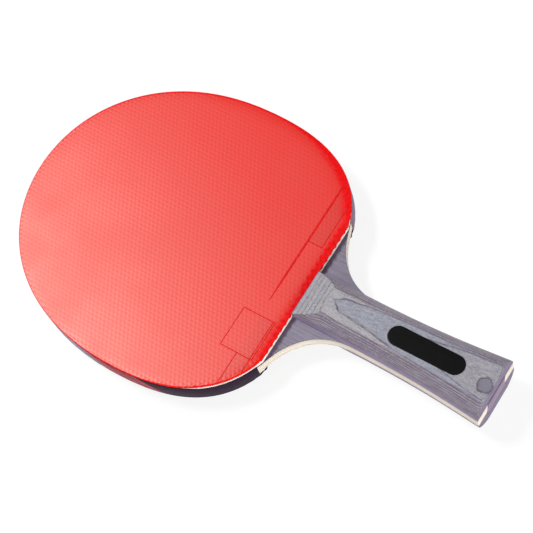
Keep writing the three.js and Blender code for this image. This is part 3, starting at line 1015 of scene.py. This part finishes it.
def stadium(half_width, half_length, steps=24):
    """A bar's outline with round ends, around the badge's middle."""
    middle = (BADGE_LOW[1] + BADGE_HIGH[1]) / 2
    straight = half_length - half_width
    loop = []
    for end in (1, -1):
        for i in range(steps + 1):
            angle = math.pi * i / steps + (0 if end > 0 else math.pi)
            round_end = Vector((math.cos(angle), math.sin(angle))) * half_width
            loop.append(round_end + Vector((0, middle + end * straight)))
    return loop


def stacked(loops):
    """Points and faces of a closed form through loops of equal count, each at its own height."""
    points = [Vector((place.x, place.y, level)) for loop, level in loops for place in loop]
    return points, closed_rings(len(loops), len(loops[0][0]))


def cut_pocket(mesh):
    """Cuts the badge's pocket into the front scale."""
    half_width = (BADGE_HIGH[0] - BADGE_LOW[0]) / 2 + BADGE_CLEARANCE
    half_length = (BADGE_HIGH[1] - BADGE_LOW[1]) / 2 + BADGE_CLEARANCE
    bar = stadium(half_width, half_length)
    cut = mesh_of("pocket_cutter", *stacked([(bar, GRIP_HIGH[2] - VENEER), (bar, GRIP_HIGH[2] + 2 * MM)]))
    cutter, body = new_object("pocket_cutter", cut), new_object("pocket_body", mesh)
    change = body.modifiers.new("pocket", "BOOLEAN")
    change.object = cutter
    change.operation = "DIFFERENCE"
    change.solver = "EXACT"
    bpy.context.view_layer.update()
    done = bpy.data.meshes.new_from_object(body.evaluated_get(bpy.context.evaluated_depsgraph_get()))
    for item in (cutter, body):
        bpy.data.objects.remove(item)
    return done


def grip_scale(name, material, front):
    """One half of the grip, shaped out of its ten veneers."""
    sections = [grip_section(*station) for station in grip_stations()]
    points = [point for section in sections for point in section]
    mesh = mesh_of(name, points, closed_rings(len(sections), len(sections[0])))
    if front:
        mesh = cut_pocket(mesh)
    else:
        turn = Matrix.Translation((0, 0, MIDDLE)) @ Matrix.Rotation(math.pi, 4, "Y")
        mesh.transform(turn @ Matrix.Translation((0, 0, -MIDDLE)))
    side = "front" if front else "rear"
    veneers = [f"{side}_grip_veneer_{number:02d}" for number in range(1, 11)]
    return add_piece(name, mesh, [material], veneers, sharp=40)


def badge(name, material):
    """The plate let into the crown of the grip, with a rolled edge and a slightly domed face."""
    half_width = (BADGE_HIGH[0] - BADGE_LOW[0]) / 2
    half_length = (BADGE_HIGH[1] - BADGE_LOW[1]) / 2
    steps = (
        (0, (BADGE_HIGH[2] - BADGE_LOW[2]) / MM), (0, 0.14), (0.03, 0.08), (0.09, 0.05), (0.25, 0.035),
        (0.9, 0.02), (2.0, 0.008), (3.4, 0), (4.6, 0),
    )
    loops = [
        (stadium(half_width - inset * MM, half_length - inset * MM), BADGE_HIGH[2] - depth * MM)
        for inset, depth in steps
    ]
    return add_piece(name, mesh_of(name, *stacked(loops)), [material], ["grip_badge"])


# -------- the paddle


def build_paddle():
    face_veneer = stained_veneer("stained_veneer")
    outer_edge = pale_wood("outer_ply_edge", (240, 234, 222), (228, 218, 202))
    medial_edge = pale_wood("medial_ply_edge", (226, 214, 198), (212, 198, 180))
    core_edge = pale_wood("core_ply_edge", (234, 225, 212), (222, 210, 194))
    grip_wood = laminate("grip_laminate")
    red = rubber("red_rubber", (219, 12, 8), (188, 1, 4), (236, 100, 86), side=1)
    black = rubber("black_rubber", (26, 24, 28), (14, 12, 15), (70, 66, 70), side=-1)
    red_rim = rim_rubber("red_rim_rubber", (238, 6, 8), (212, 2, 6))
    red_shoulder = rim_rubber("red_shoulder_rubber", (230, 8, 8), (204, 2, 5), roughness=0.5, specular=0.28)
    black_rim = rim_rubber("black_rim_rubber", (24, 22, 26), (12, 10, 13))
    red_rib = rim_rubber("red_rib_rubber", (222, 26, 26), (204, 14, 16))
    sponge = foam("sponge", (255, 244, 232), (240, 222, 208))

    for side in ("front", "rear"):
        node, piece = f"{side}_outer_veneer", f"{side}_face_veneer"
        from_cad(node, piece, FACE_CREASE, face_veneer, outer_edge)
        from_cad(f"{side}_medial_veneer", f"{side}_inner_veneer", PLY_CREASE, medial_edge)
        sponge_sheet(f"{side}_sponge", f"{side}_sponge_sheet", sponge)
    from_cad("core_ply", "blade_core", PLY_CREASE, core_edge)
    front_sheet = covering("front_topsheet", "red_topsheet", [red, red_rim, red_shoulder])
    moulded_lines(front_sheet, "front_topsheet", "red_moulded_lines", red_rib)
    rear_sheet = covering("rear_topsheet", "black_topsheet", [black, black_rim])
    moulded_lines(rear_sheet, "rear_topsheet", "black_moulded_lines", black)
    from_cad("edge_tape", "rim_tape", THIN_CREASE, printed_tape("printed_tape"))
    grip_scale("front_grip_scale", grip_wood, True)
    grip_scale("rear_grip_scale", grip_wood, False)
    badge("grip_plate", glossy_plate("glossy_black"))
    from_cad("butt_label", "butt_sticker", THIN_CREASE, blank_label("blank_label"))


# -------- floor, light and camera

CONTACT = Vector((0, GRIP_FRONT - FRONT_SLOPE_LENGTH, CAD_BOX[0][2]))  # where the grip's back touches down
FAR_CONTACT = Vector((0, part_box("rear_topsheet")[1][1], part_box("rear_topsheet")[0][2]))
TARGET = Vector((0, 45 * MM, 15 * MM))

# Each lamp: the direction to it, its distance and size in metres, and its power in watts.
LAMPS = {
    "key": (Vector((-0.075, 0.5, 1.0)), 1.345, (0.3, 0.24), 11.4),
    "second_key": (Vector((0.175, 0.7, 1.0)), 1.48, (0.3, 0.24), 5.2),
    "fill": (Vector((-0.5, -1.0, 0.22)), 1.6, (1.6, 0.5), 20),
    "side_fill": (Vector((0.9, -0.7, 0.5)), 1.4, (0.8, 0.8), 4),
}
WORLD_STRENGTH = 0.15

FLOOR_SIZE = 2.5  # metres from its middle to each side
FLOOR_GAP = 0.02 * MM
FLOOR_GREY = 0.86  # what the paddle gets back from the floor
SEEN_GREY = 0.15  # what the camera sees: a little of the shadow, and a glow
SEEN_GLOW = 0.87

CAMERA_PLACE = Vector((-212.39, -309.19, 742.6)) * MM
CAMERA_FORWARD = Vector((0.26428, 0.37495, -0.88858))
CAMERA_ROLL = 24.646
CAMERA_LENS = 115.68


def split_by_ray(nodes, links, light, seen, output):
    """Rays from the camera and in reflections and glass meet one shader, the paddle's own light another."""
    path = nodes.new("ShaderNodeLightPath")
    total = path.outputs["Is Camera Ray"]
    for ray in ("Is Glossy Ray", "Is Transmission Ray"):
        most = nodes.new("ShaderNodeMath")
        most.operation = "MAXIMUM"
        links.new(total, most.inputs[0])
        links.new(path.outputs[ray], most.inputs[1])
        total = most.outputs[0]
    choice = nodes.new("ShaderNodeMixShader")
    for source, socket in zip((total, light.outputs[0], seen.outputs[0]), choice.inputs):
        links.new(source, socket)
    links.new(choice.outputs[0], nodes.new(output).inputs[0])


def add_floor():
    """A pale table top under the paddle, which lies on the back of its grip and the far rim of its head."""
    along = (FAR_CONTACT - CONTACT).normalized()
    corners = []
    for x, y in ((-1, -1), (1, -1), (1, 1), (-1, 1)):
        corners.append(CONTACT + along * y * FLOOR_SIZE + Vector((x * FLOOR_SIZE, 0, -FLOOR_GAP)))
    floor = new_object("floor", mesh_of("floor", corners, [(0, 1, 2, 3)]))
    material = bpy.data.materials.new("pale_floor")
    material.use_nodes = True
    nodes, links = material.node_tree.nodes, material.node_tree.links
    nodes.clear()
    matt, seen_matt = nodes.new("ShaderNodeBsdfDiffuse"), nodes.new("ShaderNodeBsdfDiffuse")
    for shader, grey in ((matt, FLOOR_GREY), (seen_matt, SEEN_GREY)):
        shader.inputs["Color"].default_value = (grey, grey, grey, 1)
    glow = nodes.new("ShaderNodeEmission")
    glow.inputs["Strength"].default_value = SEEN_GLOW
    total = nodes.new("ShaderNodeAddShader")
    links.new(seen_matt.outputs[0], total.inputs[0])
    links.new(glow.outputs[0], total.inputs[1])
    split_by_ray(nodes, links, matt, total, "ShaderNodeOutputMaterial")
    floor.data.materials.append(material)


def add_lamp(name, direction, distance, size, power):
    data = bpy.data.lights.new(name, "AREA")
    data.shape = "RECTANGLE"
    data.size, data.size_y = size
    data.energy = power
    lamp = new_object(name, data)
    lamp.location = TARGET + direction.normalized() * distance
    lamp.rotation_euler = direction.to_track_quat("Z", "Y").to_euler()


def add_world():
    world = bpy.data.worlds.new("white_studio")
    world.use_nodes = True
    nodes, links = world.node_tree.nodes, world.node_tree.links
    nodes.clear()
    light, seen = nodes.new("ShaderNodeBackground"), nodes.new("ShaderNodeBackground")
    for background, strength in ((light, WORLD_STRENGTH), (seen, 1.0)):
        background.inputs["Color"].default_value = (1, 1, 1, 1)
        background.inputs["Strength"].default_value = strength
    split_by_ray(nodes, links, light, seen, "ShaderNodeOutputWorld")
    bpy.context.scene.world = world


def add_camera():
    level_right = CAMERA_FORWARD.cross(Vector((0, 0, 1))).normalized()
    level_down = CAMERA_FORWARD.cross(level_right)
    roll = math.radians(CAMERA_ROLL)
    right = level_right * math.cos(roll) + level_down * math.sin(roll)
    up = right.cross(CAMERA_FORWARD)
    data = bpy.data.cameras.new("camera")
    data.lens = CAMERA_LENS
    data.sensor_width = 36
    camera = new_object("camera", data)
    turn = Matrix((right, up, -CAMERA_FORWARD)).transposed().to_4x4()
    camera.matrix_world = Matrix.Translation(CAMERA_PLACE) @ turn
    bpy.context.scene.camera = camera


build_paddle()
add_floor()
for lamp_name, settings in LAMPS.items():
    add_lamp(lamp_name, *settings)
add_world()
add_camera()
bpy.context.scene.view_settings.view_transform = "Standard"
